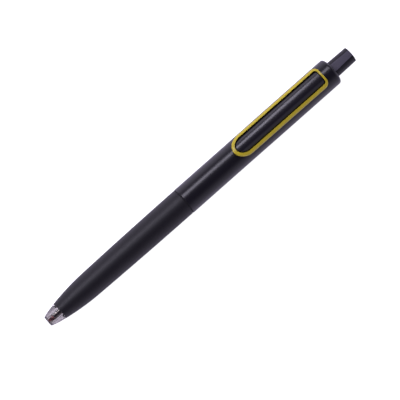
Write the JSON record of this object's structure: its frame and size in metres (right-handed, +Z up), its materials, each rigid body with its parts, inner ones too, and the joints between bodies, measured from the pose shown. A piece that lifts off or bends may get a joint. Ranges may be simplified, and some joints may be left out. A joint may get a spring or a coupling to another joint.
{
  "type": "retractable counterfeit detector pen",
  "caption": "Slim push-button pen: clear nose over a pointed fibre nib, matte tapered grip, satin barrel, framed spring clip and latching click mechanism.",
  "frame": {"origin": "on the surface the pen lies on, midway along the pen and under its axis", "axes": "+X along the pen from nose to button, +Z up through the clip, +Y across the pen"},
  "size_m": [0.1436, 0.0106, 0.0134],
  "materials": {
    "clear_nose": "clear moulded plastic, polished",
    "grip_coating": "soft-touch matte black coating",
    "black_rubber": "matte",
    "brass": "turned",
    "satin_black": "satin black lacquer",
    "yellow_frame": "satin moulded yellow",
    "gloss_black": "high gloss",
    "moulded_black": "fine moulded texture",
    "moulded_grey": "moulded",
    "steel": "bright drawn",
    "button_satin": "satin dark grey",
    "moulded_white": "moulded acetal",
    "moulded_red": "moulded acetal",
    "spring_wire": "drawn wire",
    "nib_fibre": "bonded fibre, iodine stained",
    "tube_metal": "drawn tube",
    "ink_fibre": "soaked fibre rod"
  },
  "bodies": {
    "shell": {"nose_cone": "clear_nose", "grip_barrel": "grip_coating", "seam_washer": "black_rubber", "barrel_coupling": "brass", "upper_barrel": "satin_black", "clip_anchor": "moulded_grey", "clip_pin": "steel", "cam_guide": "moulded_white", "guide_retainer": "steel", "return_spring": "spring_wire"},
    "clip": {"clip_carrier": "moulded_black", "clip_frame": "yellow_frame", "clip_inlay": "gloss_black"},
    "button": {"button_cap": "button_satin", "cam_plunger": "moulded_white"},
    "cartridge": {"cartridge_tube": "tube_metal", "ink_reservoir": "ink_fibre", "cartridge_plug": "moulded_black", "nib_holder": "moulded_black", "nib_collar": "steel", "nib": "nib_fibre"},
    "rotor": {"cam_rotor": "moulded_red"}
  },
  "joints": [
    {"name": "button_press", "type": "slide", "parent": "shell", "child": "button", "axis": [-1, 0, 0], "range_m": [0, 0.005], "stiffness_N_per_m": 250, "springref_m": -0.004, "deforming": ["return_spring"]},
    {"name": "cartridge_slide", "type": "slide", "parent": "shell", "child": "cartridge", "axis": [-1, 0, 0], "range_m": [0, 0.005]},
    {"name": "rotor_turn", "type": "hinge", "parent": "cartridge", "child": "rotor", "pos_m": [0.03225, 0, 0.00531], "axis": [1, 0, 0], "range_deg": [0, 6]},
    {"name": "clip_flex", "type": "hinge", "parent": "shell", "child": "clip", "pos_m": [0.05275, 0, 0.00886], "axis": [0, 1, 0], "range_deg": [0, 4], "stiffness_Nm_per_rad": 2, "springref_deg": -1.15}
  ],
  "couplings": [
    {"joint": "cartridge_slide", "follows": "button_press", "ratio": 1},
    {"joint": "rotor_turn", "follows": "button_press", "rad_per_m": 20.94}
  ]
}
